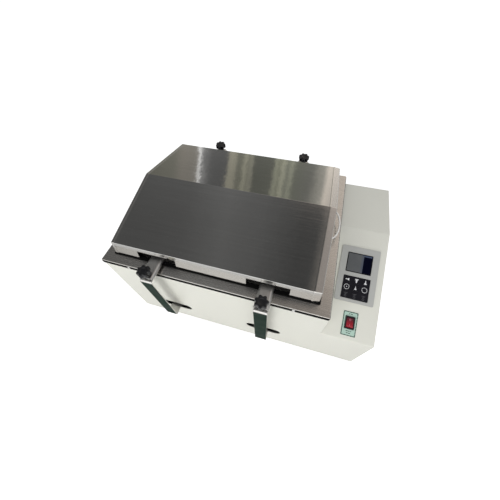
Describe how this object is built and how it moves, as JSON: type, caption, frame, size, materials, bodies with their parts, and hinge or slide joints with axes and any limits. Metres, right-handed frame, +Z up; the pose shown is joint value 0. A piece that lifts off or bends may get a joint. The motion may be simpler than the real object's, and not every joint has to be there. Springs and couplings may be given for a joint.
{
  "type": "heated reciprocating shaking bath",
  "caption": "Heated benchtop shaking bath with a gabled lift-off lid, a sloping control panel and a flask tray swung from side to side by outside arms.",
  "frame": {"origin": "centre of the footprint on the table, at the underside of the feet", "axes": "+X towards the control box, +Y from the control panel to the back, +Z up"},
  "size_m": [0.688, 0.518, 0.3914],
  "materials": {
    "ivory_paint": "smooth semi-gloss stove enamel",
    "arm_paint": "dark green semi-gloss enamel on the outer face, bare steel behind",
    "brushed_stainless": "brushed stainless sheet",
    "dark_stainless": "heat-darkened stainless tube",
    "bright_wire": "polished stainless wire",
    "zinc_steel": "zinc-plated steel",
    "valve_brass": "turned brass",
    "black_rubber": "matt black rubber",
    "black_plastic": "satin black moulded plastic",
    "grey_plastic": "satin grey panel",
    "display_pane": "clear glossy window over an unlit display",
    "mint_plastic": "satin pale green panel with a dark green border",
    "red_plastic": "translucent red moulded plastic",
    "motor_paint": "grey machine enamel",
    "board_laminate": "green circuit board with hung components"
  },
  "bodies": {
    "cabinet": {"cabinet_shell": "ivory_paint", "base_plate": "zinc_steel", "foot_front_left": "black_rubber", "foot_front_right": "black_rubber", "foot_rear_left": "black_rubber", "foot_rear_right": "black_rubber", "bath_tank": "brushed_stainless", "rim_gasket": "black_rubber", "lid_seal": "black_rubber", "heater_element": "dark_stainless", "temperature_probe": "brushed_stainless", "drain_valve": "valve_brass", "guide_rail_front": "zinc_steel", "guide_rail_rear": "zinc_steel", "crank_bearing": "motor_paint", "drive_belt": "black_rubber", "motor": "motor_paint", "motor_bracket": "zinc_steel", "control_plate": "grey_plastic", "display_window": "display_pane", "keypad_panel": "black_plastic", "switch_label": "mint_plastic", "switch_bezel": "black_plastic", "control_board": "board_laminate", "power_inlet": "black_plastic"},
    "lid": {"lid_shell": "brushed_stainless", "lid_end_left": "brushed_stainless", "lid_end_right": "brushed_stainless", "lid_handle_left": "bright_wire", "lid_handle_right": "bright_wire"},
    "carriage": {"carriage_frame": "zinc_steel", "flask_tray": "brushed_stainless", "arm_front_left": "arm_paint", "arm_front_right": "arm_paint", "arm_rear_left": "arm_paint", "arm_rear_right": "arm_paint", "hanger_bar_front_left": "brushed_stainless", "hanger_bar_front_right": "brushed_stainless", "hanger_bar_rear_left": "brushed_stainless", "hanger_bar_rear_right": "brushed_stainless"},
    "roller_front_left": {"roller_front_left": "black_plastic"},
    "roller_front_right": {"roller_front_right": "black_plastic"},
    "roller_rear_left": {"roller_rear_left": "black_plastic"},
    "roller_rear_right": {"roller_rear_right": "black_plastic"},
    "knob_front_left": {"clamp_knob_front_left": "black_plastic"},
    "knob_front_right": {"clamp_knob_front_right": "black_plastic"},
    "knob_rear_left": {"clamp_knob_rear_left": "black_plastic"},
    "knob_rear_right": {"clamp_knob_rear_right": "black_plastic"},
    "crank": {"crank_pulley": "zinc_steel", "cam_roller": "black_plastic"},
    "motor_rotor": {"motor_pulley": "zinc_steel"},
    "rocker": {"switch_rocker": "red_plastic"},
    "key_1": {"key_1": "black_plastic"},
    "key_2": {"key_2": "black_plastic"},
    "key_3": {"key_3": "black_plastic"},
    "key_4": {"key_4": "black_plastic"},
    "key_5": {"key_5": "black_plastic"},
    "key_6": {"key_6": "black_plastic"},
    "drain_handle": {"drain_lever": "red_plastic"},
    "fuse_drawer": {"fuse_drawer": "black_plastic"}
  },
  "joints": [
    {"name": "lid_lift", "type": "slide", "parent": "cabinet", "child": "lid", "axis": [0, 0, 1], "range_m": [0, 0.25]},
    {"name": "carriage_slide", "type": "slide", "parent": "cabinet", "child": "carriage", "axis": [1, 0, 0], "range_m": [-0.01, 0.01]},
    {"name": "roller_front_left_spin", "type": "hinge", "parent": "carriage", "child": "roller_front_left", "pos_m": [-0.19375, -0.15, 0.0706], "axis": [0, 1, 0], "range_deg": [-48, 48]},
    {"name": "roller_front_right_spin", "type": "hinge", "parent": "carriage", "child": "roller_front_right", "pos_m": [0.06625, -0.15, 0.0706], "axis": [0, 1, 0], "range_deg": [-48, 48]},
    {"name": "roller_rear_left_spin", "type": "hinge", "parent": "carriage", "child": "roller_rear_left", "pos_m": [-0.19375, 0.15, 0.0706], "axis": [0, 1, 0], "range_deg": [-48, 48]},
    {"name": "roller_rear_right_spin", "type": "hinge", "parent": "carriage", "child": "roller_rear_right", "pos_m": [0.06625, 0.15, 0.0706], "axis": [0, 1, 0], "range_deg": [-48, 48]},
    {"name": "knob_front_left_turn", "type": "hinge", "parent": "carriage", "child": "knob_front_left", "pos_m": [-0.2005, -0.24265, 0.3226], "axis": [0, 0, 1], "range_deg": [0, 720]},
    {"name": "knob_front_right_turn", "type": "hinge", "parent": "carriage", "child": "knob_front_right", "pos_m": [0.073, -0.24265, 0.3226], "axis": [0, 0, 1], "range_deg": [0, 720]},
    {"name": "knob_rear_left_turn", "type": "hinge", "parent": "carriage", "child": "knob_rear_left", "pos_m": [-0.1935, 0.24265, 0.3226], "axis": [0, 0, 1], "range_deg": [0, 720]},
    {"name": "knob_rear_right_turn", "type": "hinge", "parent": "carriage", "child": "knob_rear_right", "pos_m": [0.08, 0.24265, 0.3226], "axis": [0, 0, 1], "range_deg": [0, 720]},
    {"name": "crank_turn", "type": "hinge", "parent": "cabinet", "child": "crank", "pos_m": [-0.06375, 0, 0.08], "axis": [0, 0, 1], "range_deg": [-90.1, 90.1]},
    {"name": "motor_turn", "type": "hinge", "parent": "cabinet", "child": "motor_rotor", "pos_m": [0.15625, 0, 0.08], "axis": [0, 0, 1], "range_deg": [-254, 254]},
    {"name": "rocker_tip", "type": "hinge", "parent": "cabinet", "child": "rocker", "pos_m": [0.2805, -0.1869, 0.21102], "axis": [1, 0, 0], "range_deg": [0, 20]},
    {"name": "key_1_press", "type": "slide", "parent": "cabinet", "child": "key_1", "axis": [0, 0.3538, -0.9353], "range_m": [0, 0.0005], "stiffness_N_per_m": 800},
    {"name": "key_2_press", "type": "slide", "parent": "cabinet", "child": "key_2", "axis": [0, 0.3538, -0.9353], "range_m": [0, 0.0005], "stiffness_N_per_m": 800},
    {"name": "key_3_press", "type": "slide", "parent": "cabinet", "child": "key_3", "axis": [0, 0.3538, -0.9353], "range_m": [0, 0.0005], "stiffness_N_per_m": 800},
    {"name": "key_4_press", "type": "slide", "parent": "cabinet", "child": "key_4", "axis": [0, 0.3538, -0.9353], "range_m": [0, 0.0005], "stiffness_N_per_m": 800},
    {"name": "key_5_press", "type": "slide", "parent": "cabinet", "child": "key_5", "axis": [0, 0.3538, -0.9353], "range_m": [0, 0.0005], "stiffness_N_per_m": 800},
    {"name": "key_6_press", "type": "slide", "parent": "cabinet", "child": "key_6", "axis": [0, 0.3538, -0.9353], "range_m": [0, 0.0005], "stiffness_N_per_m": 800},
    {"name": "drain_lever_turn", "type": "hinge", "parent": "cabinet", "child": "drain_handle", "pos_m": [-0.058, 0.2238, 0.1568], "axis": [0, 0, 1], "range_deg": [0, 90]},
    {"name": "fuse_drawer_pull", "type": "slide", "parent": "cabinet", "child": "fuse_drawer", "axis": [0, 1, 0], "range_m": [0, 0.012]}
  ],
  "couplings": [
    {"joint": "roller_front_left_spin", "follows": "carriage_slide", "rad_per_m": 83.333},
    {"joint": "roller_front_right_spin", "follows": "carriage_slide", "rad_per_m": 83.333},
    {"joint": "roller_rear_left_spin", "follows": "carriage_slide", "rad_per_m": 83.333},
    {"joint": "roller_rear_right_spin", "follows": "carriage_slide", "rad_per_m": 83.333},
    {"joint": "crank_turn", "follows": "carriage_slide", "rad_per_m": -157.08},
    {"joint": "motor_turn", "follows": "carriage_slide", "rad_per_m": -441.94}
  ]
}
